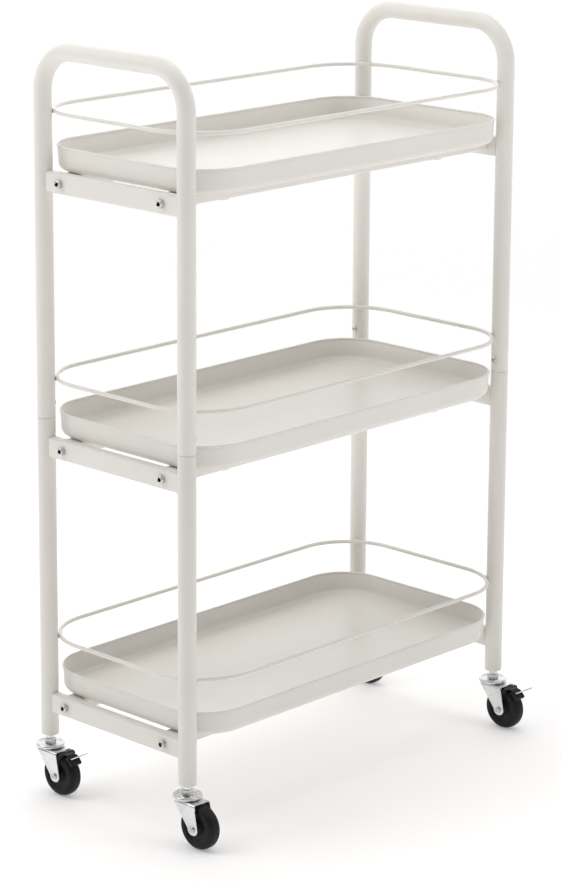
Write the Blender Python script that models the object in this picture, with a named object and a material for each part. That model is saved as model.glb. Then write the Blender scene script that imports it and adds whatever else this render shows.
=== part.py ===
"""Rolling pantry cart: three tray shelves on a two-handled tube frame with four swivel casters.

Metres, +Z up, X along the long side, -Y towards the user, floor at z = 0. The origin is
on the floor, midway across the overall footprint.
"""

import bmesh
import bpy
from math import cos, pi, radians, sin, sqrt

GAP = 0.0003

# Tube frame
POST_X = 0.280
POST_Y = 0.120
TUBE_R = 0.0110
TUBE_WALL = 0.0009
TUBE_SIDES = 14
LEG_BOTTOM_Z = 0.074
JOINT_Z = 0.476
SPIGOT_LENGTH = 0.040
HANDLE_Z = 0.921
HANDLE_BEND_R = 0.050
JOINT_SCREW_Z = 0.492
SCREW_R = 0.0020
SCREW_HOLE_R = 0.0023
SCREW_HEAD_R = 0.0038
SCREW_REACH = 0.0065

# Tiers
TIERS = {"bottom": 0.199, "middle": 0.523, "top": 0.847}
RAIL_R = 0.0025
RAIL_HALF_X = 0.2824
RAIL_HALF_Y = 0.1454
TRAY_DROP = 0.0412
TRAY_HALF_X = 0.2731
TRAY_HALF_Y = 0.1421
TRAY_CORNER_R = 0.060
TRAY_DEPTH = 0.031
TRAY_EDGE_R = 0.009
SHEET = 0.0008

# Crossbars between the posts, and the long bars under each tray
CROSSBAR_DROP = 0.0823
CROSSBAR_HALF_X = 0.006
CROSSBAR_HALF_Z = 0.0125
BAR_Y = 0.0855
BAR_HALF_Y = 0.0125
BAR_HALF_Z = 0.0075
BAR_END_PLATE = 0.003
BOLT_R = 0.0025
BOLT_HOLE_R = 0.0028
BOLT_HEAD_R = 0.0050
BOLT_HEAD_HEIGHT = 0.0050
BOLT_REACH = 0.020

# Swivel casters
WHEEL_R = 0.027
WHEEL_HALF_WIDTH = 0.0102
TREAD_ROUND_R = 0.0062
TREAD_ROUND_X = 0.0080
TRAIL = 0.0215
AXLE_R = 0.0030
FORK_HALF_WIDTH = 0.0140
FORK_SHEET = 0.0018
FORK_TOP_Z = 0.0575
FORK_BEND_R = 0.0040
FORK_TIP_R = 0.0075
FORK_REAR_RUN = 0.0245
FORK_FRONT_RUN = 0.0060
KINGPIN_R = 0.0040
RIVET_R = 0.0062
DISH_R = 0.0183
HEX_HALF = 0.0066

# Wheel brakes: distances forward of the swivel axis and heights above the floor
BRAKE_PIVOT = (0.0205, 0.0485)
BRAKE_PIN_R = 0.0020
CHEEK_IN = 0.0108
CHEEK_OUT = 0.0119
LEVER_SHEET = 0.0012
LEVER_HALF_WIDTH = 0.0065
SHOE_IN_R = 0.0288
SHOE_SEAT_R = 0.0308
SHOE_OUT_R = 0.0320
SHOE_HALF_WIDTH = 0.0085

COATING = ((0.800, 0.780, 0.740), 0.42, 0.0)
ZINC = ((0.620, 0.630, 0.640), 0.32, 1.0)
STEEL = ((0.560, 0.560, 0.570), 0.28, 1.0)
BLACK_TYRE = ((0.030, 0.030, 0.032), 0.60, 0.0)
BLACK_PLASTIC = ((0.045, 0.045, 0.048), 0.50, 0.0)


def clear_scene():
    for obj in list(bpy.data.objects):
        bpy.data.objects.remove(obj, do_unlink=True)


def make_material(name, finish):
    colour, roughness, metallic = finish
    material = bpy.data.materials.new(name)
    material.use_nodes = True
    shader = material.node_tree.nodes["Principled BSDF"]
    shader.inputs["Base Color"].default_value = (*colour, 1.0)
    shader.inputs["Roughness"].default_value = roughness
    shader.inputs["Metallic"].default_value = metallic
    return material


def make_mesh(name, verts, faces):
    """Make a mesh with outward normals."""
    mesh = bpy.data.meshes.new(name)
    mesh.from_pydata(verts, [], faces)
    work = bmesh.new()
    work.from_mesh(mesh)
    bmesh.ops.recalc_face_normals(work, faces=work.faces)
    work.to_mesh(mesh)
    work.free()
    return mesh


def place(name, mesh, finish, origin=(0.0, 0.0, 0.0)):
    """Put a mesh in the scene as one finished piece."""
    mesh.polygons.foreach_set("use_smooth", [True] * len(mesh.polygons))
    obj = bpy.data.objects.new(name, mesh)
    bpy.context.scene.collection.objects.link(obj)
    obj.location = origin
    mesh.materials.clear()
    mesh.materials.append(make_material(name + "_finish", finish))
    return obj


def strips(rings, wrap=False):
    """Join equal rings of points side by side, wrapped round or capped at both ends."""
    count = len(rings[0])
    verts = [point for ring in rings for point in ring]
    faces = []
    last = len(rings) if wrap else len(rings) - 1
    for i in range(last):
        a = i * count
        b = ((i + 1) % len(rings)) * count
        for j in range(count):
            k = (j + 1) % count
            faces.append((a + j, a + k, b + k, b + j))
    if not wrap:
        faces.append(tuple(range(count)))
        faces.append(tuple(range((len(rings) - 1) * count, len(rings) * count)))
    return verts, faces


def round_ring(radius, height, sides, axis="z", hexagon=False, centre=(0.0, 0.0)):
    """Ring of points about an axis; a hexagon ring takes the radius as half its flat width."""
    ring = []
    for i in range(sides):
        angle = 2.0 * pi * i / sides
        reach = radius
        if hexagon:
            reach = radius / cos((angle % (pi / 3.0)) - pi / 6.0)
        u = centre[0] + reach * cos(angle)
        v = centre[1] + reach * sin(angle)
        ring.append((u, v, height) if axis == "z" else (height, u, v))
    return ring


def turned(name, profile, sides, axis="z", wrap=False):
    """Turned mesh from (radius, height) steps; a third entry of True makes a step hexagonal."""
    rings = [round_ring(step[0], step[1], sides, axis, len(step) > 2) for step in profile]
    verts, faces = strips(rings, wrap)
    return make_mesh(name, verts, faces)


def rounded_outline(half_u, half_v, radius, steps, top_steps=1):
    """Counter-clockwise rounded rectangle; top_steps splits the two straight sides along u."""
    points = []
    corners = ((1, 1, 0.0), (-1, 1, 0.5 * pi), (-1, -1, pi), (1, -1, 1.5 * pi))
    for index, (su, sv, start) in enumerate(corners):
        for i in range(steps + 1):
            angle = start + 0.5 * pi * i / steps
            u = su * (half_u - radius) + radius * cos(angle)
            v = sv * (half_v - radius) + radius * sin(angle)
            points.append((u, v))
        if index % 2 == 0:
            for i in range(1, top_steps):
                u = su * (half_u - radius) * (1.0 - 2.0 * i / top_steps)
                points.append((u, sv * half_v))
    return points


def joined(obj, others, operation):
    """Apply a Boolean of the other objects to one object and remove them."""
    for other in others:
        modifier = obj.modifiers.new("boolean", "BOOLEAN")
        modifier.operation = operation
        modifier.solver = "EXACT"
        modifier.object = other
    bpy.context.view_layer.update()
    graph = bpy.context.evaluated_depsgraph_get()
    result = bpy.data.meshes.new_from_object(obj.evaluated_get(graph))
    obj.modifiers.clear()
    obj.data = result
    for other in others:
        bpy.data.objects.remove(other, do_unlink=True)
    return obj


def helper(mesh, origin=(0.0, 0.0, 0.0)):
    """Unfinished object used only to build another one."""
    obj = bpy.data.objects.new(mesh.name, mesh)
    bpy.context.scene.collection.objects.link(obj)
    obj.location = origin
    obj.hide_render = True
    obj.display_type = "WIRE"
    return obj


def plain_mesh(obj):
    """Take the mesh of a working object and remove the object."""
    mesh = obj.data
    bpy.data.objects.remove(obj, do_unlink=True)
    return mesh


def cylinder_x(radius, x0, x1, y, z, sides=12):
    profile = [(radius, x0), (radius, x1)]
    return helper(turned("cylinder", profile, sides, "x"), (0.0, y, z))


def prism_x(outline, x0, x1):
    """Solid between two x values over an outline of (y, z) points."""
    rings = [[(x, y, z) for y, z in outline] for x in (x0, x1)]
    verts, faces = strips(rings)
    return make_mesh("prism", verts, faces)


# ---------------------------------------------------------------- frame

def handle_path():
    """Stations (y, z, tangent angle) up one post, over the top and down the other."""
    path = [(-POST_Y, JOINT_Z + GAP, 0.5 * pi)]
    steps = 6
    for side in (-1, 1):
        for i in range(steps + 1):
            turn = 0.5 * pi * i / steps
            angle = (pi - turn) if side < 0 else (0.5 * pi - turn)
            y = side * (POST_Y - HANDLE_BEND_R) + HANDLE_BEND_R * cos(angle)
            z = HANDLE_Z - HANDLE_BEND_R + HANDLE_BEND_R * sin(angle)
            path.append((y, z, angle - 0.5 * pi))
    path.append((POST_Y, JOINT_Z + GAP, -0.5 * pi))
    return path


def screw_hole(side, y):
    """Cutter for a joint screw's hole, through the tube wall on the cart's inside."""
    x0, x1 = sorted((-side * 0.3 * TUBE_R, -side * 1.4 * TUBE_R))
    return cylinder_x(SCREW_HOLE_R, x0, x1, y, JOINT_SCREW_Z, 10)


def handle_mesh(side):
    path = handle_path()
    rings = []
    for radius, stations in ((TUBE_R, path), (TUBE_R - TUBE_WALL, path[::-1])):
        for y, z, heading in stations:
            ring = []
            for i in range(TUBE_SIDES):
                angle = 2.0 * pi * i / TUBE_SIDES
                out = radius * sin(angle)
                ring.append((radius * cos(angle), y - out * sin(heading), z + out * cos(heading)))
            rings.append(ring)
    verts, faces = strips(rings, wrap=True)
    work = helper(make_mesh("handle", verts, faces))
    cutters = [screw_hole(side, y) for y in (-POST_Y, POST_Y)]
    return plain_mesh(joined(work, cutters, "DIFFERENCE"))


def leg_mesh(side):
    inner = TUBE_R - TUBE_WALL
    spigot = inner - GAP
    top = JOINT_Z + SPIGOT_LENGTH
    profile = [
        (TUBE_R, LEG_BOTTOM_Z),
        (TUBE_R, JOINT_Z - 0.0015),
        (spigot, JOINT_Z),
        (spigot, top),
        (spigot - TUBE_WALL, top),
        (spigot - TUBE_WALL, JOINT_Z - 0.0015),
        (inner, JOINT_Z - 0.004),
        (inner, LEG_BOTTOM_Z),
    ]
    work = helper(turned("leg", profile, TUBE_SIDES, wrap=True))
    return plain_mesh(joined(work, [screw_hole(side, 0.0)], "DIFFERENCE"))


def joint_screw_mesh(side):
    """Pan-head screw entering from the cart's inside; side is the sign of the post's x."""
    face = TUBE_R + GAP
    profile = [
        (SCREW_R, face - SCREW_REACH),
        (SCREW_R, face),
        (SCREW_HEAD_R, face),
        (SCREW_HEAD_R - 0.0002, face + 0.0014),
        (0.0024, face + 0.0022),
        (0.0012, face + 0.0022, True),
        (0.0012, face + 0.0008, True),
    ]
    steps = [(step[0], -side * step[1], *step[2:]) for step in profile]
    return turned("joint_screw", steps, 12, "x")


def crossbar_mesh(side):
    """Rectangular tube from post to post, its ends cut to the posts' round."""
    rings = []
    cope = TUBE_R + GAP
    for inset, ends in ((0.0, (-1, 1)), (TUBE_WALL, (1, -1))):
        outline = rounded_outline(
            CROSSBAR_HALF_X - inset, CROSSBAR_HALF_Z - inset, 0.0028 - inset, 2, 4
        )
        for end in ends:
            ring = []
            for u, v in outline:
                reach = POST_Y - sqrt(cope * cope - u * u)
                ring.append((u, end * reach, v))
            rings.append(ring)
    verts, faces = strips(rings, wrap=True)
    work = helper(make_mesh("crossbar", verts, faces))
    cutters = []
    for y in (-BAR_Y, BAR_Y):
        cutters.append(cylinder_x(BOLT_HOLE_R, -0.010, 0.010, y, 0.0))
    return plain_mesh(joined(work, cutters, "DIFFERENCE"))


def bar_end_x():
    return POST_X - CROSSBAR_HALF_X - GAP


def support_bar_mesh(bolt_z):
    """Closed rectangular tube along x; bolt_z is the height of its end holes off its centre."""
    end = bar_end_x()
    outline = rounded_outline(BAR_HALF_Y, BAR_HALF_Z, 0.0025, 2)
    bore = rounded_outline(BAR_HALF_Y - TUBE_WALL, BAR_HALF_Z - TUBE_WALL, 0.0013, 2)
    count = len(outline)

    def hole(x):
        ring = []
        for i in range(count):
            angle = 2.0 * pi * (i + 0.5) / count
            ring.append((x, BOLT_HOLE_R * cos(angle), bolt_z + BOLT_HOLE_R * sin(angle)))
        return ring

    inside = end - BAR_END_PLATE
    rings = [
        [(-end, u, v) for u, v in outline],
        [(end, u, v) for u, v in outline],
        hole(end),
        hole(inside),
        [(inside, u, v) for u, v in bore],
        [(-inside, u, v) for u, v in bore],
        hole(-inside),
        hole(-end),
    ]
    verts, faces = strips(rings, wrap=True)
    return make_mesh("support_bar", verts, faces)


def bolt_mesh(side):
    """Socket-head bolt through a crossbar into the end of a long bar."""
    face = CROSSBAR_HALF_X + GAP
    top = face + BOLT_HEAD_HEIGHT
    profile = [
        (BOLT_R, face - BOLT_REACH),
        (BOLT_R, face),
        (BOLT_HEAD_R, face),
        (BOLT_HEAD_R, top - 0.0006),
        (BOLT_HEAD_R - 0.0006, top),
        (0.0020, top, True),
        (0.0020, top - 0.0028, True),
    ]
    steps = [(step[0], side * step[1], *step[2:]) for step in profile]
    return turned("bolt", steps, 12, "x")


# ---------------------------------------------------------------- tiers

def tray_mesh():
    """Pressed sheet tray with a rolled rim, measured down from the rim's top."""
    edge = TRAY_EDGE_R
    foot = 0.0020 + edge
    profile = []
    for i in range(4):
        angle = 0.5 * pi * (1.0 - i / 3.0)
        profile.append((foot - edge * cos(angle), -TRAY_DEPTH + edge - edge * sin(angle)))
    profile += [
        (0.0012, -0.0030),
        (0.0000, -0.0024),
        (0.0000, -0.0006),
        (0.0006, 0.0000),
        (0.0020, 0.0000),
        (0.0026, -0.0008),
        (0.0034, -0.0240),
        (0.0044, -0.0252),
        (0.0066, -0.0256),
        (0.0100, -0.0290),
        (0.0125, -TRAY_DEPTH + SHEET),
    ]
    rings = []
    for inset, z in profile:
        outline = rounded_outline(
            TRAY_HALF_X - inset, TRAY_HALF_Y - inset, TRAY_CORNER_R - inset, 5
        )
        rings.append([(u, v, z) for u, v in outline])
    verts, faces = strips(rings)
    return make_mesh("tray", verts, faces)


def rail_corner_radius():
    """Plan radius that just clears the inner side of the posts."""
    ex = RAIL_HALF_X - POST_X
    ey = RAIL_HALF_Y - POST_Y
    reach = TUBE_R + RAIL_R + 0.5 * GAP
    b = ex + ey + reach
    c = ex * ex + ey * ey - reach * reach
    return b + sqrt(b * b - c)


def rail_mesh():
    """Round wire bent to a closed loop inside the four posts."""
    sides = 8
    steps = 7
    outline = rounded_outline(RAIL_HALF_X, RAIL_HALF_Y, rail_corner_radius(), steps)
    rings = []
    for i, (u, v) in enumerate(outline):
        quarter, step = divmod(i, steps + 1)
        turn = 0.5 * pi * (quarter + step / steps)
        ring = []
        for j in range(sides):
            angle = 2.0 * pi * (j + 0.5) / sides
            out = RAIL_R * cos(angle)
            ring.append((u + out * cos(turn), v + out * sin(turn), RAIL_R * sin(angle)))
        rings.append(ring)
    verts, faces = strips(rings, wrap=True)
    return make_mesh("rail", verts, faces)


# ---------------------------------------------------------------- casters

def stem_mesh():
    """Grip stem, hexagon, upper raceway dish and riveted kingpin, from the fork up."""
    plate_bottom = FORK_TOP_Z - FORK_SHEET
    spigot = TUBE_R - TUBE_WALL - GAP
    profile = [
        (RIVET_R, plate_bottom - GAP - 0.0020),
        (RIVET_R, plate_bottom - GAP),
        (KINGPIN_R, plate_bottom - GAP),
        (KINGPIN_R, FORK_TOP_Z + GAP),
        (DISH_R - 0.0030, FORK_TOP_Z + GAP),
        (DISH_R - 0.0006, FORK_TOP_Z + 0.0010),
        (DISH_R, FORK_TOP_Z + 0.0022),
        (DISH_R, FORK_TOP_Z + 0.0042),
        (DISH_R - 0.0012, FORK_TOP_Z + 0.0052),
        (DISH_R - 0.0034, FORK_TOP_Z + 0.0050),
        (DISH_R - 0.0056, FORK_TOP_Z + 0.0036),
        (HEX_HALF, FORK_TOP_Z + 0.0036, True),
        (HEX_HALF, LEG_BOTTOM_Z - GAP, True),
        (spigot, LEG_BOTTOM_Z + 0.0015),
        (spigot, LEG_BOTTOM_Z + 0.0260),
        (spigot - 0.0010, LEG_BOTTOM_Z + 0.0270),
    ]
    return turned("stem", profile, 12)


def fork_reach(z):
    """Rear and front edges of a fork side plate at a height, forward of the swivel axis."""
    below = z - WHEEL_R
    if below < 0.0:
        half = sqrt(max(FORK_TIP_R**2 - below**2, 0.0025**2))
        return TRAIL - half, TRAIL + half + 0.001
    share = below / (FORK_TOP_Z - WHEEL_R)
    rear = TRAIL - FORK_TIP_R - FORK_REAR_RUN * share
    front = TRAIL + FORK_TIP_R + 0.001 - FORK_FRONT_RUN * share
    return rear, front


def fork_mesh(braked):
    """Sheet fork bent down both sides of the wheel."""
    stations = []
    for rise in (-0.93, -0.73, -0.40, 0.0):
        z = WHEEL_R + rise * FORK_TIP_R
        stations.append((FORK_HALF_WIDTH, z, 0.0, fork_reach(z)))
    for share in (0.33, 0.66, 1.0):
        z = WHEEL_R + share * (FORK_TOP_Z - FORK_BEND_R - WHEEL_R)
        stations.append((FORK_HALF_WIDTH, z, 0.0, fork_reach(z)))
    for turn in (30.0, 60.0, 90.0):
        angle = radians(turn)
        x = FORK_HALF_WIDTH - FORK_BEND_R + FORK_BEND_R * cos(angle)
        z = FORK_TOP_Z - FORK_BEND_R + FORK_BEND_R * sin(angle)
        rear, front = fork_reach(z)
        stations.append((x, z, angle, (rear - 0.001 * turn / 30.0, front)))
    for x, rear in ((0.0088, -0.0130), (0.0045, -0.0145)):
        stations.append((x, FORK_TOP_Z, 0.5 * pi, (rear, fork_reach(FORK_TOP_Z)[1])))
    rings = []
    for side in (-1, 1):
        row = stations if side < 0 else stations[::-1]
        for x, z, angle, (rear, front) in row:
            inner_x = x - FORK_SHEET * cos(angle)
            inner_z = z - FORK_SHEET * sin(angle)
            rings.append([
                (side * x, -rear, z),
                (side * x, -front, z),
                (side * inner_x, -front, inner_z),
                (side * inner_x, -rear, inner_z),
            ])
    verts, faces = strips(rings)
    work = helper(make_mesh("fork", verts, faces))
    profile = [(KINGPIN_R + GAP, FORK_TOP_Z - 0.005), (KINGPIN_R + GAP, FORK_TOP_Z + 0.005)]
    cutters = [helper(turned("kingpin_hole", profile, 12))]
    cutters.append(cylinder_x(AXLE_R + GAP, -0.020, 0.020, -TRAIL, WHEEL_R))
    if braked:
        y = -BRAKE_PIVOT[0]
        cutters.append(cylinder_x(BRAKE_PIN_R + GAP, -0.020, 0.020, y, BRAKE_PIVOT[1]))
    return plain_mesh(joined(work, cutters, "DIFFERENCE"))


def wheel_mesh():
    """Wheel with a rounded tread, dished sides and a bored hub, about its own axle."""
    half = [
        (AXLE_R + GAP, WHEEL_HALF_WIDTH),
        (0.0078, WHEEL_HALF_WIDTH),
        (0.0088, WHEEL_HALF_WIDTH - 0.0028),
        (0.0165, WHEEL_HALF_WIDTH - 0.0028),
        (0.0178, WHEEL_HALF_WIDTH),
    ]
    for turn in (0.0, 24.0, 48.0, 72.0):
        angle = radians(turn)
        half.append((
            WHEEL_R - TREAD_ROUND_R + TREAD_ROUND_R * sin(angle),
            WHEEL_HALF_WIDTH - TREAD_ROUND_X + TREAD_ROUND_X * cos(angle),
        ))
    half.append((WHEEL_R, 0.25 * WHEEL_HALF_WIDTH))
    profile = half + [(r, -x) for r, x in half[::-1]]
    return turned("wheel", profile, 24, "x", wrap=True)


def axle_mesh():
    face = FORK_HALF_WIDTH + GAP
    profile = [
        (0.0026, -face - 0.0024),
        (0.0040, -face - 0.0018),
        (0.0040, -face),
        (AXLE_R, -face),
        (AXLE_R, face),
        (0.0040, face),
        (0.0040, face + 0.0018),
        (0.0026, face + 0.0024),
    ]
    return turned("axle", profile, 12, "x")


def round_wheel(radius, turn):
    """Point (reach, height) at a radius from the wheel's axle, turn degrees above forward."""
    angle = radians(turn)
    return TRAIL + radius * cos(angle), WHEEL_R + radius * sin(angle)


def lever_mesh():
    """Brake lever: two cheeks on pivot pins, joined over the tread, then bent up to a tab."""
    path = []
    for radius, turn, width in (
        (0.0296, 78.0, CHEEK_OUT - GAP),
        (0.0298, 70.0, CHEEK_OUT - GAP),
        (0.0298, 69.0, LEVER_HALF_WIDTH),
        (0.0317, 62.0, LEVER_HALF_WIDTH),
        (0.0317, 56.0, LEVER_HALF_WIDTH),
    ):
        path.append((*round_wheel(radius, turn), turn - 90.0, width))
    path += [
        (*round_wheel(0.0317, 50.0), -5.0, LEVER_HALF_WIDTH),
        (0.0440, 0.0524, 28.0, LEVER_HALF_WIDTH),
        (0.0590, 0.0607, 30.0, LEVER_HALF_WIDTH + 0.0003),
        (0.0625, 0.0627, 30.0, LEVER_HALF_WIDTH - 0.0020),
    ]
    rings = []
    for reach, z, slope, width in path:
        dy = 0.5 * LEVER_SHEET * sin(radians(slope))
        dz = 0.5 * LEVER_SHEET * cos(radians(slope))
        rings.append([
            (-width, -reach + dy, z + dz),
            (width, -reach + dy, z + dz),
            (width, -reach - dy, z - dz),
            (-width, -reach - dy, z - dz),
        ])
    verts, faces = strips(rings)
    work = helper(make_mesh("lever", verts, faces))
    reach, height = BRAKE_PIVOT
    cheek = [
        (reach, height - 0.0035),
        (reach - 0.0030, height - 0.0015),
        (reach - 0.0030, height + 0.0015),
        (reach - 0.0005, height + 0.0035),
        (reach + 0.0045, height + 0.0045),
        (reach + 0.0070, height + 0.0070),
        (reach + 0.0110, height + 0.0066),
        (reach + 0.0115, height + 0.0040),
        (reach + 0.0080, height),
        (reach + 0.0040, height - 0.0028),
    ]
    outline = [(-y, z) for y, z in cheek]
    extras = []
    for side in (-1, 1):
        x0, x1 = sorted((side * CHEEK_IN, side * CHEEK_OUT))
        extras.append(helper(prism_x(outline, x0, x1)))
        x0, x1 = sorted((side * (CHEEK_IN + 0.0004), side * (FORK_HALF_WIDTH - 0.0002)))
        extras.append(cylinder_x(BRAKE_PIN_R, x0, x1, -reach, height, 10))
    return plain_mesh(joined(work, extras, "UNION"))


def shoe_mesh():
    """Moulded brake shoe: a band hooked round the tread, with a seat for the lever."""
    inside = [round_wheel(SHOE_IN_R, turn) for turn in (60.0, 53.5, 47.0, 40.5, 34.0)]
    outside = [round_wheel(SHOE_OUT_R, turn) for turn in (36.0, 43.0, 50.0, 58.0)]
    outline = [(-reach, z) for reach, z in inside + outside]
    work = helper(prism_x(outline, -SHOE_HALF_WIDTH, SHOE_HALF_WIDTH))
    floor = [round_wheel(SHOE_SEAT_R, turn) for turn in (66.0, 60.0, 54.0, 47.0)]
    above = [round_wheel(SHOE_OUT_R + 0.004, turn) for turn in (47.0, 66.0)]
    seat = [(-reach, z) for reach, z in floor + above]
    wide = LEVER_HALF_WIDTH + GAP
    cutter = helper(prism_x(seat, -wide, wide))
    return plain_mesh(joined(work, [cutter], "DIFFERENCE"))


# ---------------------------------------------------------------- assembly

def build_frame():
    for side, hand in ((-1, "left"), (1, "right")):
        x = side * POST_X
        place("handle_" + hand, handle_mesh(side), COATING, (x, 0.0, 0.0))
        for end, depth in ((-1, "front"), (1, "back")):
            y = end * POST_Y
            place("leg_" + depth + "_" + hand, leg_mesh(side), COATING, (x, y, 0.0))
            screw = joint_screw_mesh(side)
            place("joint_screw_" + depth + "_" + hand, screw, STEEL, (x, y, JOINT_SCREW_Z))


def build_tier(tier, rail_z):
    tray_z = rail_z - TRAY_DROP
    cross_z = rail_z - CROSSBAR_DROP
    bar_z = tray_z - TRAY_DEPTH - GAP - BAR_HALF_Z
    place("guard_rail_" + tier, rail_mesh(), COATING, (0.0, 0.0, rail_z))
    place("tray_" + tier, tray_mesh(), COATING, (0.0, 0.0, tray_z))
    for end, depth in ((-1, "front"), (1, "back")):
        bar = support_bar_mesh(cross_z - bar_z)
        place("support_bar_" + tier + "_" + depth, bar, COATING, (0.0, end * BAR_Y, bar_z))
    for side, hand in ((-1, "left"), (1, "right")):
        x = side * POST_X
        place("crossbar_" + tier + "_" + hand, crossbar_mesh(side), COATING, (x, 0.0, cross_z))
        for end, depth in ((-1, "front"), (1, "back")):
            name = "bolt_" + tier + "_" + depth + "_" + hand
            place(name, bolt_mesh(side), STEEL, (x, end * BAR_Y, cross_z))


def build_caster(depth, hand, x, y, braked):
    corner = depth + "_" + hand
    place("caster_stem_" + corner, stem_mesh(), ZINC, (x, y, 0.0))
    place("caster_fork_" + corner, fork_mesh(braked), ZINC, (x, y, 0.0))
    hub = (x, y - TRAIL, WHEEL_R)
    place("caster_wheel_" + corner, wheel_mesh(), BLACK_TYRE, hub)
    place("caster_axle_" + corner, axle_mesh(), STEEL, hub)
    if braked:
        pivot = (x, y - BRAKE_PIVOT[0], BRAKE_PIVOT[1])
        for name, mesh, finish in (
            ("brake_lever_", lever_mesh(), ZINC),
            ("brake_shoe_", shoe_mesh(), BLACK_PLASTIC),
        ):
            for vert in mesh.vertices:
                vert.co.y += BRAKE_PIVOT[0]
                vert.co.z -= BRAKE_PIVOT[1]
            place(name + corner, mesh, finish, pivot)


def centre_footprint():
    """Move everything so that the origin is under the middle of the overall size."""
    spans = []
    for obj in bpy.data.objects:
        for vert in obj.data.vertices:
            spans.append(obj.location.y + vert.co.y)
    shift = -0.5 * (min(spans) + max(spans))
    for obj in bpy.data.objects:
        obj.location.y += round(shift, 4)


clear_scene()
build_frame()
for tier_name, tier_rail_z in TIERS.items():
    build_tier(tier_name, tier_rail_z)
build_caster("front", "left", -POST_X, -POST_Y, False)
build_caster("back", "left", -POST_X, POST_Y, True)
build_caster("front", "right", POST_X, -POST_Y, True)
build_caster("back", "right", POST_X, POST_Y, False)
centre_footprint()
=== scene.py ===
"""Rolling pantry cart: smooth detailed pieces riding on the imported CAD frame, in metres."""

from math import cos, pi, radians, sin, sqrt

import bmesh
import bpy
from mathutils import Matrix, Vector


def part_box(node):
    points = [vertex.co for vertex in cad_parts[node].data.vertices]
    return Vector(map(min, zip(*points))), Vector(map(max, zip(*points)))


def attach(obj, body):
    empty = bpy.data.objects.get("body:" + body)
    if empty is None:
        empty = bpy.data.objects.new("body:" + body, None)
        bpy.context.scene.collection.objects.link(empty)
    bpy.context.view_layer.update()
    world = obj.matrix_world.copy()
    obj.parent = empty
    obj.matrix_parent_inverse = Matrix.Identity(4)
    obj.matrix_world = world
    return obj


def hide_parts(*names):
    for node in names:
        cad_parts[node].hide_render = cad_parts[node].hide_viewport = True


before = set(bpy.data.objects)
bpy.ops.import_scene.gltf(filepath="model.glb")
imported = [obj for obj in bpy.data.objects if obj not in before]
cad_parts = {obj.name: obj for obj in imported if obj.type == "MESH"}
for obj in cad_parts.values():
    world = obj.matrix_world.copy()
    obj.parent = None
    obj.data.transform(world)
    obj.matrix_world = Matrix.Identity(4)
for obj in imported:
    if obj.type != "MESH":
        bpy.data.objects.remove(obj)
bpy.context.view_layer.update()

TIERS = ("bottom", "middle", "top")
HANDS = (("left", -1), ("right", 1))
DEPTHS = ("front", "back")
CORNERS = [(depth + "_" + hand, side) for hand, side in HANDS for depth in DEPTHS]
BRAKED = ("back_left", "front_right")


def middle(node):
    """Centre of a CAD node's box."""
    low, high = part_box(node)
    return (Vector(low) + Vector(high)) / 2.0


# Axis (x, y) of each post, from its leg.
POSTS = {corner: tuple(middle("leg_" + corner))[:2] for corner, side in CORNERS}
MIDDLE_Y = (POSTS["front_left"][1] + POSTS["back_left"][1]) / 2.0
POST_X = POSTS["front_right"][0]
POST_Y = POSTS["back_left"][1] - MIDDLE_Y

# Sizes of the CAD solids that their boxes don't tell, in metres.
GAP = 0.0003
TUBE_R = 0.0110
TUBE_WALL = 0.0009
HANDLE_BEND = 0.050
SCREW_R = 0.0020
SCREW_REACH = 0.0065
BOLT_R = 0.0025
BOLT_HEAD_R = 0.0050
BOLT_HEAD_HEIGHT = 0.0050
BOLT_EDGE = 0.0012
TRAY_CORNER = 0.060
TRAY_EDGE = 0.0090
RAIL_R = 0.0025
RAIL_HALF = (0.2824, 0.1454)
FORK_HALF = 0.0140
FORK_SHEET = 0.0018
FORK_BEND = 0.0040
FORK_TIP = 0.0075
FORK_REAR_RUN = 0.0245
FORK_FRONT_RUN = 0.0060

# The tray screws are only in this script.
TRAY_SCREW_X = 0.188


# ---------------------------------------------------------------- mesh helpers

class Shape:
    """Vertices and faces of one piece, gathered shell by shell."""

    def __init__(self):
        self.verts = []
        self.faces = []

    def strips(self, rings, wrap=False):
        """Join equal rings of points, wrapped round or capped at both ends."""
        base = len(self.verts)
        count = len(rings[0])
        for ring in rings:
            self.verts.extend(tuple(point) for point in ring)
        last = len(rings) if wrap else len(rings) - 1
        for i in range(last):
            a = base + i * count
            b = base + ((i + 1) % len(rings)) * count
            for j in range(count):
                k = (j + 1) % count
                self.faces.append((a + j, a + k, b + k, b + j))
        if not wrap:
            end = base + (len(rings) - 1) * count
            self.faces.append(tuple(range(base, base + count)))
            self.faces.append(tuple(range(end, end + count)))
        return self

    def turned(self, profile, sides, axis="z", wrap=False, at=(0.0, 0.0, 0.0)):
        """Turn (radius, height) steps round an axis; a third entry True makes a hexagon."""
        rings = []
        for step in profile:
            ring = []
            for i in range(sides):
                angle = 2.0 * pi * i / sides
                reach = step[0]
                if len(step) > 2:
                    reach = step[0] / cos((angle % (pi / 3.0)) - pi / 6.0)
                u = reach * cos(angle)
                v = reach * sin(angle)
                point = (u, v, step[1]) if axis == "z" else (step[1], u, v)
                ring.append(tuple(a + b for a, b in zip(point, at)))
            rings.append(ring)
        return self.strips(rings, wrap)

    def mesh(self, name, sharp=38.0):
        """One smooth-shaded mesh, with its edges kept sharp above an angle in degrees."""
        mesh = bpy.data.meshes.new(name)
        mesh.from_pydata(self.verts, [], self.faces)
        work = bmesh.new()
        work.from_mesh(mesh)
        bmesh.ops.remove_doubles(work, verts=work.verts, dist=1e-7)
        bmesh.ops.recalc_face_normals(work, faces=work.faces)
        for face in work.faces:
            face.smooth = True
        for edge in work.edges:
            if len(edge.link_faces) == 2 and edge.calc_face_angle() > radians(sharp):
                edge.smooth = False
        work.to_mesh(mesh)
        work.free()
        return mesh


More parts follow.
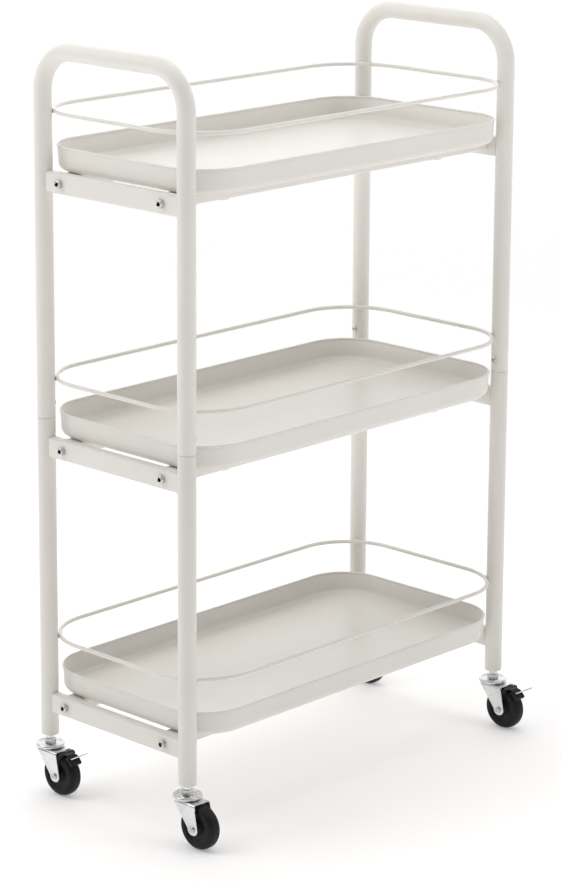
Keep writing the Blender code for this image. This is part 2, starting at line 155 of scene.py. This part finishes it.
def place(name, data):
    """Put a mesh, light or camera into the scene."""
    obj = bpy.data.objects.new(name, data)
    bpy.context.scene.collection.objects.link(obj)
    return obj


def piece(name, mesh, material, body, nodes=()):
    """Show a mesh as one finished piece of the cart."""
    obj = place(name, mesh)
    mesh.materials.clear()
    mesh.materials.append(material)
    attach(obj, body)
    if nodes:
        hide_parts(*nodes)
    return obj


def bevelled(obj, width, segments):
    """Round the edges that turn by more than 40 degrees."""
    modifier = obj.modifiers.new("soft_edges", "BEVEL")
    modifier.width = width
    modifier.segments = segments
    modifier.limit_method = "ANGLE"
    modifier.angle_limit = radians(40.0)
    modifier.harden_normals = False


def outline(half_u, half_v, radius, steps, splits=1):
    """Counter-clockwise rounded rectangle of (u, v, turn) points."""
    points = []
    corners = ((1, 1), (-1, 1), (-1, -1), (1, -1))
    for index, (su, sv) in enumerate(corners):
        for i in range(steps + 1):
            turn = 0.5 * pi * (index + i / steps)
            u = su * (half_u - radius) + radius * cos(turn)
            v = sv * (half_v - radius) + radius * sin(turn)
            points.append((u, v, turn))
        if index % 2 == 0:
            for i in range(1, splits):
                u = su * (half_u - radius) * (1.0 - 2.0 * i / splits)
                points.append((u, sv * half_v, 0.5 * pi * (index + 1)))
    return points


# ---------------------------------------------------------------- materials

def graph(name):
    """A node material with its tree, its shader and the object's own coordinates."""
    material = bpy.data.materials.new(name)
    material.use_nodes = True
    tree = material.node_tree
    shader = tree.nodes["Principled BSDF"]
    coords = tree.nodes.new("ShaderNodeTexCoord").outputs["Object"]
    return material, tree, shader, coords


def noise(tree, coords, scale, detail=2.0, rough=0.5):
    """Noise value at a scale in features per metre."""
    node = tree.nodes.new("ShaderNodeTexNoise")
    node.inputs["Scale"].default_value = scale
    node.inputs["Detail"].default_value = detail
    node.inputs["Roughness"].default_value = rough
    tree.links.new(coords, node.inputs["Vector"])
    return node.outputs["Fac"]


def ramp(tree, value, stops):
    """Colour from a value, by (position, colour) stops."""
    node = tree.nodes.new("ShaderNodeValToRGB")
    elements = node.color_ramp.elements
    while len(elements) < len(stops):
        elements.new(0.5)
    for element, (position, colour) in zip(elements, stops):
        element.position = position
        element.color = (*colour, 1.0)
    tree.links.new(value, node.inputs["Fac"])
    return node.outputs["Color"]


def spread(tree, value, low, high, start=0.3, stop=0.7, easing="LINEAR"):
    """Map a value from start..stop to low..high."""
    node = tree.nodes.new("ShaderNodeMapRange")
    node.interpolation_type = easing
    node.inputs["From Min"].default_value = start
    node.inputs["From Max"].default_value = stop
    node.inputs["To Min"].default_value = low
    node.inputs["To Max"].default_value = high
    tree.links.new(value, node.inputs["Value"])
    return node.outputs["Result"]


def bump(tree, shader, layers):
    """Stack bump layers of (height socket, strength, distance) onto the shader's normal."""
    previous = None
    for height, strength, distance in layers:
        node = tree.nodes.new("ShaderNodeBump")
        node.inputs["Strength"].default_value = strength
        node.inputs["Distance"].default_value = distance
        tree.links.new(height, node.inputs["Height"])
        if previous is not None:
            tree.links.new(previous, node.inputs["Normal"])
        previous = node.outputs["Normal"]
    tree.links.new(previous, shader.inputs["Normal"])


def powder_coat():
    """Warm off-white powder coat: fine orange peel over a slow unevenness of tone."""
    material, tree, shader, coords = graph("powder_coat")
    tone = noise(tree, coords, 9.0, 3.0)
    stops = ((0.35, (0.810, 0.788, 0.742)), (0.65, (0.836, 0.815, 0.771)))
    tree.links.new(ramp(tree, tone, stops), shader.inputs["Base Color"])
    tree.links.new(
        spread(tree, noise(tree, coords, 160.0, 2.0), 0.30, 0.38), shader.inputs["Roughness"]
    )
    shader.inputs["Specular IOR Level"].default_value = 0.50
    peel = noise(tree, coords, 900.0, 2.0, 0.4)
    waves = noise(tree, coords, 260.0, 1.0, 0.4)
    bump(tree, shader, ((waves, 0.030, 0.0002), (peel, 0.035, 0.00010)))
    return material


def bright_zinc():
    """Bright zinc plate with faint clouding and drawing marks."""
    material, tree, shader, coords = graph("bright_zinc")
    shader.inputs["Metallic"].default_value = 1.0
    cloud = noise(tree, coords, 60.0, 3.0, 0.5)
    stops = (
        (0.30, (0.66, 0.675, 0.69)),
        (0.52, (0.74, 0.75, 0.755)),
        (0.75, (0.80, 0.795, 0.78)),
    )
    tree.links.new(ramp(tree, cloud, stops), shader.inputs["Base Color"])
    tree.links.new(
        spread(tree, noise(tree, coords, 120.0, 2.0), 0.24, 0.36), shader.inputs["Roughness"]
    )
    grain = noise(tree, coords, 900.0, 2.0, 0.5)
    bump(tree, shader, ((grain, 0.05, 0.00008),))
    return material


def plated_steel():
    """Fastener steel, a little darker and finer than the zinc sheet."""
    material, tree, shader, coords = graph("plated_steel")
    shader.inputs["Metallic"].default_value = 1.0
    cloud = noise(tree, coords, 180.0, 3.0, 0.6)
    stops = ((0.32, (0.52, 0.52, 0.53)), (0.68, (0.74, 0.73, 0.71)))
    tree.links.new(ramp(tree, cloud, stops), shader.inputs["Base Color"])
    tree.links.new(
        spread(tree, noise(tree, coords, 420.0, 2.0), 0.22, 0.38), shader.inputs["Roughness"]
    )
    bump(tree, shader, ((noise(tree, coords, 1500.0, 2.0), 0.10, 0.00008),))
    return material


def black_moulding_and_painted_shade(name, low, high, base):
    """Matt black moulded plastic or rubber with a fine grain and slightly worn patches; also the
    painted shade inside the bolt sockets.
    """
    material, tree, shader, coords = graph(name)
    shader.inputs["Specular IOR Level"].default_value = 0.22
    tone = noise(tree, coords, 120.0, 4.0, 0.6)
    dark = tuple(0.75 * c for c in base)
    light = tuple(1.35 * c for c in base)
    tree.links.new(ramp(tree, tone, ((0.35, dark), (0.70, light))), shader.inputs["Base Color"])
    tree.links.new(
        spread(tree, noise(tree, coords, 300.0, 3.0), low, high), shader.inputs["Roughness"]
    )
    grain = noise(tree, coords, 1800.0, 2.0)
    scuff = noise(tree, coords, 420.0, 3.0)
    bump(tree, shader, ((scuff, 0.10, 0.0002), (grain, 0.20, 0.0001)))
    return material


def pale_floor():
    """Pale studio floor that glows a little, more with distance, so its far end is white."""
    material, tree, shader, coords = graph("pale_floor")
    tone = noise(tree, coords, 0.8, 2.0)
    stops = ((0.3, (0.905, 0.898, 0.902)), (0.7, (0.915, 0.910, 0.914)))
    tree.links.new(ramp(tree, tone, stops), shader.inputs["Base Color"])
    shader.inputs["Roughness"].default_value = 0.80
    shader.inputs["Specular IOR Level"].default_value = 0.10
    shader.inputs["Emission Color"].default_value = (1.0, 0.99, 0.995, 1.0)
    reach = tree.nodes.new("ShaderNodeVectorMath")
    reach.operation = "LENGTH"
    tree.links.new(coords, reach.inputs[0])
    glow = spread(tree, reach.outputs["Value"], 0.27, 0.60, 0.8, 5.0)
    tree.links.new(glow, shader.inputs["Emission Strength"])
    return material


COAT = powder_coat()
ZINC = bright_zinc()
STEEL = plated_steel()
TYRE = black_moulding_and_painted_shade("black_wheel", 0.42, 0.60, (0.0105, 0.0098, 0.0108))
PLASTIC = black_moulding_and_painted_shade("black_shoe", 0.40, 0.60, (0.012, 0.012, 0.0125))
# Near-black material laid on the faces deep in the bolt sockets: painted shade in the recess.
PAINTED_SOCKET_SHADE = black_moulding_and_painted_shade("painted_socket_shade", 0.35, 0.50, (0.034, 0.033, 0.031))


# ---------------------------------------------------------------- tube frame

def handle(hand, side):
    """Bent tube over both posts, hollow at its lower ends, with softened cut ends."""
    node = "handle_" + hand
    low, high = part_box(node)
    x = side * POST_X
    bend = HANDLE_BEND
    top = high[2] - TUBE_R
    bottom = low[2]
    cut = 0.0004
    stations = [(-POST_Y, bottom, 0.5 * pi, cut), (-POST_Y, bottom + cut, 0.5 * pi, 0.0)]
    for way in (-1, 1):
        for i in range(25):
            turn = 0.5 * pi * i / 24
            angle = (pi - turn) if way < 0 else (0.5 * pi - turn)
            y = way * (POST_Y - bend) + bend * cos(angle)
            z = top - bend + bend * sin(angle)
            stations.append((y, z, angle - 0.5 * pi, 0.0))
    stations += [(POST_Y, bottom + cut, -0.5 * pi, 0.0), (POST_Y, bottom, -0.5 * pi, cut)]
    rings = []
    for radius, row in ((TUBE_R, stations), (TUBE_R - TUBE_WALL, stations[::-1])):
        for y, z, heading, trim in row:
            reach = radius - trim if radius == TUBE_R else radius
            ring = []
            for i in range(40):
                angle = 2.0 * pi * i / 40
                out = reach * sin(angle)
                ring.append((
                    x + reach * cos(angle),
                    MIDDLE_Y + y - out * sin(heading),
                    z + out * cos(heading),
                ))
            rings.append(ring)
    mesh = Shape().strips(rings, wrap=True).mesh("tube_" + node)
    piece("tube_" + node, mesh, COAT, "frame", [node])


def leg(corner):
    """Lower leg with a swaged spigot at its top and a rounded cut at its foot."""
    node = "leg_" + corner
    low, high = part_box(node)
    x, y = POSTS[corner]
    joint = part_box("handle_left")[0][2] - GAP
    bore = TUBE_R - TUBE_WALL
    spigot = bore - GAP
    profile = [
        (bore, low[2] + 0.0002),
        (bore + 0.0003, low[2]),
        (TUBE_R - 0.0005, low[2]),
        (TUBE_R - 0.00015, low[2] + 0.00015),
        (TUBE_R, low[2] + 0.0005),
        (TUBE_R, joint - 0.0007),
        (TUBE_R - 0.0002, joint - 0.0002),
        (TUBE_R - 0.0007, joint),
        (spigot, joint),
        (spigot, high[2] - 0.0005),
        (spigot - 0.0005, high[2]),
        (spigot - TUBE_WALL, high[2]),
        (spigot - TUBE_WALL, joint - 0.002),
        (bore, joint - 0.005),
    ]
    mesh = Shape().turned(profile, 40, wrap=True, at=(x, y, 0.0)).mesh("tube_" + node)
    piece("tube_" + node, mesh, COAT, "frame", [node])


def joint_screw(corner, side):
    """Pan-head screw through the joint, on the cart's inside."""
    node = "joint_screw_" + corner
    x, y = POSTS[corner]
    z = middle(node)[2]
    face = TUBE_R + GAP
    profile = [
        (SCREW_R, face - SCREW_REACH),
        (SCREW_R, face),
        (0.0036, face),
        (0.0038, face + 0.0003),
    ]
    for i in range(1, 7):
        angle = 0.5 * pi * i / 6
        profile.append((0.0018 + 0.0020 * cos(angle), face + 0.0006 + 0.0016 * sin(angle)))
    profile += [(0.0012, face + 0.0022, True), (0.0011, face + 0.0007, True)]
    steps = [(step[0], -side * step[1], *step[2:]) for step in profile]
    mesh = Shape().turned(steps, 36, "x", at=(x, y, z)).mesh("head_" + node)
    piece("head_" + node, mesh, STEEL, "frame", [node])


def crossbar(tier, hand, side):
    """Rectangular tube with rounded edges, its ends cut to the posts' round."""
    node = "crossbar_" + tier + "_" + hand
    low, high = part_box(node)
    half_x = (high[0] - low[0]) / 2.0
    half_z = (high[2] - low[2]) / 2.0
    z = (low[2] + high[2]) / 2.0
    x = side * POST_X
    cope = TUBE_R + GAP
    rings = []
    for inset, ends in ((0.0, (-1, -1, 1, 1)), (TUBE_WALL, (1, -1))):
        loop = outline(half_x - inset, half_z - inset, 0.0030 - inset, 8, 12)
        for index, end in enumerate(ends):
            rim = inset == 0.0 and index in (0, 3)
            ring = []
            for u, v, turn in loop:
                trim = 0.0003 if rim else 0.0
                uu = u - trim * cos(turn)
                vv = v - trim * sin(turn)
                reach = POST_Y - sqrt(cope * cope - uu * uu)
                if inset == 0.0 and not rim:
                    reach -= 0.0004
                ring.append((x + uu, MIDDLE_Y + end * reach, z + vv))
            rings.append(ring)
    mesh = Shape().strips(rings, wrap=True).mesh("tube_" + node, 50.0)
    piece("tube_" + node, mesh, COAT, "frame", [node])


def support_bar(tier, depth):
    """Long rounded bar under a tray, with the two screws that hold the tray down."""
    node = "support_bar_" + tier + "_" + depth
    low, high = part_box(node)
    y = (low[1] + high[1]) / 2.0
    z = (low[2] + high[2]) / 2.0
    loop = outline((high[1] - low[1]) / 2.0, (high[2] - low[2]) / 2.0, 0.0026, 8)
    cut = 0.0004
    rings = []
    for x, trim in ((low[0], cut), (low[0] + cut, 0.0), (high[0] - cut, 0.0), (high[0], cut)):
        ring = []
        for u, v, turn in loop:
            ring.append((x, y + u - trim * cos(turn), z + v - trim * sin(turn)))
        rings.append(ring)
    mesh = Shape().strips(rings).mesh("tube_" + node)
    piece("tube_" + node, mesh, COAT, "frame", [node])
    for hand, side in HANDS:
        name = "tray_screw_" + tier + "_" + depth + "_" + hand
        base = low[2] - 0.0001
        profile = [
            (0.0074, base),
            (0.0080, base - 0.0005),
            (0.0080, base - 0.0016),
            (0.0070, base - 0.0024),
            (0.0044, base - 0.0029),
            (0.0026, base - 0.0030),
            (0.0024, base - 0.0014, True),
        ]
        at = (side * TRAY_SCREW_X, y, 0.0)
        mesh = Shape().turned(profile, 36, at=at).mesh(name)
        piece(name, mesh, COAT, "frame")


def crossbar_bolt(tier, corner, side):
    """Socket-head bolt with a soft rim and a deep hexagon, the inside of its socket painted dark
    as shade.
    """
    node = "bolt_" + tier + "_" + corner
    low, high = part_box(node)
    y = (low[1] + high[1]) / 2.0
    z = (low[2] + high[2]) / 2.0
    outer = max(abs(low[0]), abs(high[0]))
    face = outer - BOLT_HEAD_HEIGHT
    profile = [
        (BOLT_R, face - 0.0150),
        (BOLT_R, face),
        (BOLT_HEAD_R - 0.0005, face),
        (BOLT_HEAD_R, face + 0.0005),
    ]
    for i in range(6):
        angle = 0.5 * pi * i / 5
        reach = BOLT_HEAD_R - BOLT_EDGE + BOLT_EDGE * cos(angle)
        profile.append((reach, outer - BOLT_EDGE + BOLT_EDGE * sin(angle)))
    profile += [(0.0031, outer), (0.0025, outer - 0.0004, True), (0.0024, outer - 0.0034, True)]
    steps = [(step[0], side * step[1], *step[2:]) for step in profile]
    mesh = Shape().turned(steps, 36, "x", at=(0.0, y, z)).mesh("head_" + node)
    piece("head_" + node, mesh, STEEL, "frame", [node])
    # The faces deep in the hexagon socket take the near-black material: painted shade.
    mesh.materials.append(PAINTED_SOCKET_SHADE)
    for polygon in mesh.polygons:
        spot = polygon.center
        inside = sqrt((spot.y - y) ** 2 + (spot.z - z) ** 2) < 0.0031
        if inside and outer - 0.0040 < abs(spot.x) < outer - 0.0005:
            polygon.material_index = 1


# ---------------------------------------------------------------- tiers

def tray_profile(depth):
    """Sheet section as (inset, height under the rim): outside up, over the bead, inside down."""
    steps = []
    for i in range(9):
        angle = 0.5 * pi * (1.0 - i / 8.0)
        inset = 0.0022 + TRAY_EDGE - TRAY_EDGE * cos(angle)
        steps.append((inset, -depth + TRAY_EDGE - TRAY_EDGE * sin(angle)))
    bead = 0.0013
    steps += [(0.0015, -0.0044), (bead, -0.0036)]
    for i in range(11):
        angle = radians(215.0 - 250.0 * i / 10)
        steps.append((bead - bead * cos(angle), -bead + bead * sin(angle)))
    steps += [
        (0.0027, -0.0040),
        (0.0033, -0.0215),
        (0.0036, -0.0236),
        (0.0044, -0.0248),
        (0.0056, -0.0253),
        (0.0070, -0.0256),
        (0.0082, -0.0264),
        (0.0096, -0.0282),
        (0.0110, -0.0293),
        (0.0132, -depth + 0.0012),
        (0.0400, -depth + 0.0012),
    ]
    return steps


def tray(tier):
    """Pressed pan with a rolled rim."""
    node = "tray_" + tier
    low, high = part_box(node)
    half_x = (high[0] - low[0]) / 2.0
    half_y = (high[1] - low[1]) / 2.0
    rings = []
    for inset, drop in tray_profile(high[2] - low[2]):
        loop = outline(half_x - inset, half_y - inset, TRAY_CORNER - inset, 18)
        rings.append([(u, MIDDLE_Y + v, high[2] + drop) for u, v, _ in loop])
    mesh = Shape().strips(rings).mesh("pan_" + node, 60.0)
    piece("pan_" + node, mesh, COAT, "frame", [node])


def rail_corner(half_x, half_y):
    """Corner radius that makes the wire just touch the posts."""
    ex = half_x - POST_X
    ey = half_y - POST_Y
    reach = TUBE_R + RAIL_R + GAP / 2.0
    b = ex + ey + reach
    return b + sqrt(b * b - ex * ex - ey * ey + reach * reach)


def guard_rail(tier):
    """Closed wire loop with a small weld at each post."""
    node = "guard_rail_" + tier
    z = middle(node)[2]
    half_x, half_y = RAIL_HALF
    corner = rail_corner(half_x, half_y)
    shape = Shape()
    rings = []
    for u, v, turn in outline(half_x, half_y, corner, 24):
        ring = []
        for j in range(16):
            angle = 2.0 * pi * j / 16
            out = RAIL_R * cos(angle)
            ring.append((
                u + out * cos(turn), MIDDLE_Y + v + out * sin(turn), z + RAIL_R * sin(angle)
            ))
        rings.append(ring)
    shape.strips(rings, wrap=True)
    for sx in (-1, 1):
        for sy in (-1, 1):
            centre = Vector((sx * (half_x - corner), sy * (half_y - corner)))
            post = Vector((sx * POST_X, sy * POST_Y))
            out = (post - centre).normalized()
            spot = post - out * (TUBE_R + 0.0006)
            across = Vector((-out.y, out.x))
            for up in (-1, 1):
                rings = []
                for i in range(1, 9):
                    tilt = pi * i / 9
                    ring = []
                    for j in range(12):
                        angle = 2.0 * pi * j / 12
                        a = 0.0042 * cos(tilt)
                        b = 0.0014 * sin(tilt) * cos(angle)
                        c = 0.0013 * sin(tilt) * sin(angle)
                        flat = spot + across * a + out * b
                        ring.append((flat.x, MIDDLE_Y + flat.y, z + up * 0.0019 + c))
                    rings.append(ring)
                shape.strips(rings)
    piece("wire_" + node, shape.mesh("wire_" + node), COAT, "frame", [node])


# ---------------------------------------------------------------- casters

def caster_stem(corner):
    """Hexagon over a dished upper raceway with a rolled rim, and the riveted kingpin below."""
    node = "caster_stem_" + corner
    x, y = POSTS[corner]
    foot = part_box("leg_" + corner)[0][2]
    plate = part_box("caster_fork_" + corner)[1][2]
    low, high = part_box(node)
    disc = (high[0] - low[0]) / 2.0
    spigot = TUBE_R - TUBE_WALL - GAP
    profile = [
        (0.0035, plate - 0.0041),
        (0.0056, plate - 0.0037),
        (0.0062, plate - 0.0028),
        (0.0060, plate - 0.0021),
        (0.0040, plate - 0.0021),
        (0.0040, plate + 0.0003),
        (disc - 0.0034, plate + 0.0003),
        (disc - 0.0020, plate + 0.0006),
    ]
    rim = 0.0021
    for i in range(13):
        angle = radians(-75.0 + 230.0 * i / 12)
        profile.append((disc - rim + rim * cos(angle), plate + 0.0030 + rim * sin(angle)))
    profile += [
        (disc - 0.0050, plate + 0.0036),
        (disc - 0.0066, plate + 0.0031),
        (0.0098, plate + 0.0031),
        (0.0094, plate + 0.0036),
        (0.0086, plate + 0.0038),
        (0.0060, plate + 0.0038, True),
        (0.0064, plate + 0.0044, True),
        (0.0064, plate + 0.0104, True),
        (0.0060, plate + 0.0110, True),
        (0.0052, plate + 0.0112),
        (0.0050, plate + 0.0120),
        (0.0050, foot + 0.0010),
        (spigot, foot + 0.0014),
        (spigot, foot + 0.0250),
        (spigot - 0.0010, foot + 0.0270),
    ]
    mesh = Shape().turned(profile, 48, at=(x, y, 0.0)).mesh("raceway_" + node, 32.0)
    piece("raceway_" + node, mesh, ZINC, "frame", [node])


def fork_edges(z, axle, top, trail):
    """Rear and front edges of a side plate at a height, forward of the swivel axis."""
    below = z - axle
    if below < 0.0:
        half = sqrt(max(FORK_TIP * FORK_TIP - below * below, 0.0))
        return trail - half, trail + half + 0.001
    share = below / (top - axle)
    rear = trail - FORK_TIP - FORK_REAR_RUN * share
    return rear, trail + FORK_TIP + 0.001 - FORK_FRONT_RUN * share


def caster_fork(corner):
    """Sheet fork: flat top under the raceway, bent down both sides to rounded tips."""
    node = "caster_fork_" + corner
    x0, y0 = POSTS[corner]
    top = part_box(node)[1][2]
    axle = middle("caster_wheel_" + corner)
    trail = y0 - axle.y
    stations = []
    for i in range(1, 7):
        z = axle.z - FORK_TIP * cos(0.5 * pi * i / 6)
        stations.append((FORK_HALF, z, 0.0, fork_edges(z, axle.z, top, trail)))
    for i in range(1, 13):
        z = axle.z + (top - FORK_BEND - axle.z) * i / 12
        stations.append((FORK_HALF, z, 0.0, fork_edges(z, axle.z, top, trail)))
    for i in range(1, 9):
        angle = 0.5 * pi * i / 8
        x = FORK_HALF - FORK_BEND + FORK_BEND * cos(angle)
        z = top - FORK_BEND + FORK_BEND * sin(angle)
        rear, front = fork_edges(z, axle.z, top, trail)
        stations.append((x, z, angle, (rear - 0.0017 * i / 8, front)))
    for x in (0.0085, 0.0065, 0.0040, 0.0013):
        rounded_rear = 23.0 * x * x - 0.0145
        front = fork_edges(top, axle.z, top, trail)[1]
        stations.append((x, top, 0.5 * pi, (rounded_rear, front)))
    rings = []
    for side in (-1, 1):
        for x, z, angle, (rear, front) in stations if side < 0 else stations[::-1]:
            inner_x, inner_z = x - FORK_SHEET * cos(angle), z - FORK_SHEET * sin(angle)
            ring = []
            for px, pz, order in ((x, z, range(7)), (inner_x, inner_z, range(6, -1, -1))):
                for i in order:
                    reach = rear + (front - rear) * i / 6
                    ring.append((x0 + side * px, y0 - reach, pz))
            rings.append(ring)
    mesh = Shape().strips(rings).mesh("sheet_" + node, 40.0)
    obj = piece("sheet_" + node, mesh, ZINC, "fork_" + corner, [node])
    bevelled(obj, 0.00035, 2)


def caster_wheel(corner):
    """Black wheel with a rounded tread, a shoulder ring, dished sides and a hub."""
    node = "caster_wheel_" + corner
    low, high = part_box(node)
    centre = middle(node)
    radius = (high[2] - low[2]) / 2.0
    wide = (high[0] - low[0]) / 2.0
    half = [
        (0.0033, wide - 0.0004),
        (0.0037, wide),
        (0.0072, wide),
        (0.0078, wide - 0.0004),
        (0.0084, wide - 0.0020),
        (0.0092, wide - 0.0028),
        (0.0152, wide - 0.0030),
        (0.0164, wide - 0.0026),
        (0.0172, wide - 0.0014),
        (0.0180, wide - 0.0010),
        (0.0198, wide - 0.0010),
        (0.0200, wide - 0.0012),
        (0.0203, wide - 0.0012),
        (0.0205, wide - 0.0010),
    ]
    round_r, round_x = 0.0060, 0.0075
    for i in range(13):
        angle = 0.5 * pi * i / 12
        reach = radius - round_r + round_r * sin(angle)
        half.append((reach, wide - 0.0010 - round_x + round_x * cos(angle)))
    profile = half + [(r, -x) for r, x in half[::-1]]
    mesh = Shape().turned(profile, 72, "x", wrap=True, at=centre).mesh("tread_" + node, 40.0)
    piece("tread_" + node, mesh, TYRE, "wheel_" + corner, [node])


def caster_axle(corner):
    """Axle with a domed, ringed rivet head on each side of the fork."""
    node = "caster_axle_" + corner
    centre = middle("caster_wheel_" + corner)
    face = FORK_HALF + GAP
    head = [
        (0.0030, face - 0.0001),
        (0.0038, face - 0.0001),
        (0.0041, face + 0.0004),
        (0.0041, face + 0.0010),
        (0.0037, face + 0.0015),
        (0.0030, face + 0.0017),
        (0.0026, face + 0.0013),
        (0.0021, face + 0.0013),
        (0.0016, face + 0.0019),
        (0.0006, face + 0.0022),
    ]
    profile = [(r, -x) for r, x in head[::-1]] + head
    mesh = Shape().turned(profile, 32, "x", at=centre).mesh("rivet_" + node)
    piece("rivet_" + node, mesh, STEEL, "fork_" + corner, [node])


def brake(corner):
    """Lever and shoe copy their CAD shapes, with soft edges; the lever is black over the shoe and
    zinc only at its tab.
    """
    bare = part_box("brake_shoe_" + corner)[0][1] + 0.004  # the lever's tab is bare metal
    kinds = (
        ("lever", "bent_", "zinc_sheet", 0.0003),
        ("shoe", "moulded_", "black_plastic", 0.0006),
    )
    for kind, look, slot, width in kinds:
        node = "brake_" + kind + "_" + corner
        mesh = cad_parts[node].data.copy()
        obj = piece(look + node, mesh, PLASTIC, "brake_" + corner, [node])
        bevelled(obj, width, 3)
        if kind == "lever":
            mesh.materials.append(ZINC)
            for polygon in mesh.polygons:
                polygon.material_index = int(polygon.center.y < bare)


for hand_name, hand_side in HANDS:
    handle(hand_name, hand_side)
for corner_name, corner_side in CORNERS:
    leg(corner_name)
    joint_screw(corner_name, corner_side)
    caster_stem(corner_name)
    caster_fork(corner_name)
    caster_wheel(corner_name)
    caster_axle(corner_name)
for corner_name in BRAKED:
    brake(corner_name)
for tier_name in TIERS:
    tray(tier_name)
    guard_rail(tier_name)
    for depth_name in DEPTHS:
        support_bar(tier_name, depth_name)
    for hand_name, hand_side in HANDS:
        crossbar(tier_name, hand_name, hand_side)
    for corner_name, corner_side in CORNERS:
        crossbar_bolt(tier_name, corner_name, corner_side)


# ---------------------------------------------------------------- studio

FLOOR_HALF = 40.0
IMAGE_HEIGHT = 893.0
SENSOR = 36.0
FOCAL_PIXELS = 3029.809
CENTRE_ROW = 300.0
CAMERA_X, CAMERA_Y, CAMERA_Z = -2.63059, -2.50875, 1.41604
TOWARDS_CAMERA = (-0.72, -0.69, 0.0)
SKY_BACK = 1.32
SKY_DARK = 0.16
BOX_AIM = (0.0, 0.0, 0.5)


def floor():
    """Flat floor far beyond the view."""
    shape = Shape()
    for x, y in ((-1, -1), (1, -1), (1, 1), (-1, 1)):
        shape.verts.append((x * FLOOR_HALF, y * FLOOR_HALF, 0.0))
    shape.faces = [(0, 1, 2, 3)]
    mesh = shape.mesh("studio_floor")
    mesh.materials.append(pale_floor())
    place("studio_floor", mesh)


def camera():
    """Camera from the heading, tilt, roll, place and lens that were fitted to the photograph."""
    azimuth, elevation, roll = -0.80911, 0.22250, 0.00524
    back = Vector((
        sin(azimuth) * cos(elevation), -cos(azimuth) * cos(elevation), sin(elevation)
    ))
    right = Vector((cos(azimuth), sin(azimuth), 0.0))
    up = back.cross(right)
    right_rolled = cos(roll) * right + sin(roll) * up
    up_rolled = -sin(roll) * right + cos(roll) * up
    turn = Matrix((right_rolled, up_rolled, back)).transposed()
    data = bpy.data.cameras.new("camera")
    data.sensor_width = SENSOR
    data.lens = FOCAL_PIXELS * SENSOR / IMAGE_HEIGHT
    data.shift_y = -(IMAGE_HEIGHT / 2.0 - CENTRE_ROW) / IMAGE_HEIGHT
    data.clip_end = 200.0
    obj = place("camera", data)
    spot = (CAMERA_X, MIDDLE_Y + CAMERA_Y, CAMERA_Z)
    obj.matrix_world = Matrix.Translation(spot) @ turn.to_4x4()
    bpy.context.scene.camera = obj


def softbox(name, spot, size, power, colour):
    """Square area light aimed at the cart's middle."""
    data = bpy.data.lights.new(name, "AREA")
    data.shape = "RECTANGLE"
    data.size = data.size_y = size
    data.energy = power
    data.color = colour
    obj = place(name, data)
    obj.location = spot
    aim = Vector(BOX_AIM) - Vector(spot)
    obj.rotation_euler = aim.to_track_quat("-Z", "Y").to_euler()


def sky():
    """Studio surround: bright behind the cart and along the horizon, dark on the camera's side."""
    world = bpy.data.worlds.new("studio")
    bpy.context.scene.world = world
    world.use_nodes = True
    tree = world.node_tree
    background = tree.nodes["Background"]
    coords = tree.nodes.new("ShaderNodeTexCoord")

    def falloff(direction, start, stop, low, high):
        """Ease from low to high as the view turns towards a fixed direction."""
        dot = tree.nodes.new("ShaderNodeVectorMath")
        dot.operation = "DOT_PRODUCT"
        dot.inputs[1].default_value = direction
        tree.links.new(coords.outputs["Generated"], dot.inputs[0])
        return spread(tree, dot.outputs["Value"], low, high, start, stop, "SMOOTHSTEP")

    side = falloff(TOWARDS_CAMERA, -0.95, 0.05, SKY_BACK, SKY_DARK)
    ring = falloff((0.0, 0.0, 1.0), 0.06, 0.12, 1.0, 0.0)
    strongest = tree.nodes.new("ShaderNodeMath")
    strongest.operation = "MAXIMUM"
    tree.links.new(side, strongest.inputs[0])
    tree.links.new(ring, strongest.inputs[1])
    tree.links.new(strongest.outputs["Value"], background.inputs["Strength"])
    warmth = falloff(TOWARDS_CAMERA, -0.1, 0.7, 0.0, 1.0)
    stops = ((0.0, (1.0, 0.997, 0.990)), (1.0, (1.0, 0.992, 0.980)))
    tree.links.new(ramp(tree, warmth, stops), background.inputs["Color"])


floor()
camera()
sky()
softbox("left_box", (-2.09, 1.54, 2.5), 2.0, 31.0, (1.0, 0.995, 0.985))
softbox("right_box", (1.05, -2.38, 2.5), 2.0, 18.0, (1.0, 0.997, 0.990))
softbox("top_box", (0.0, 0.0, 3.2), 2.4, 33.0, (1.0, 1.0, 1.0))
bpy.context.scene.view_settings.view_transform = "Standard"
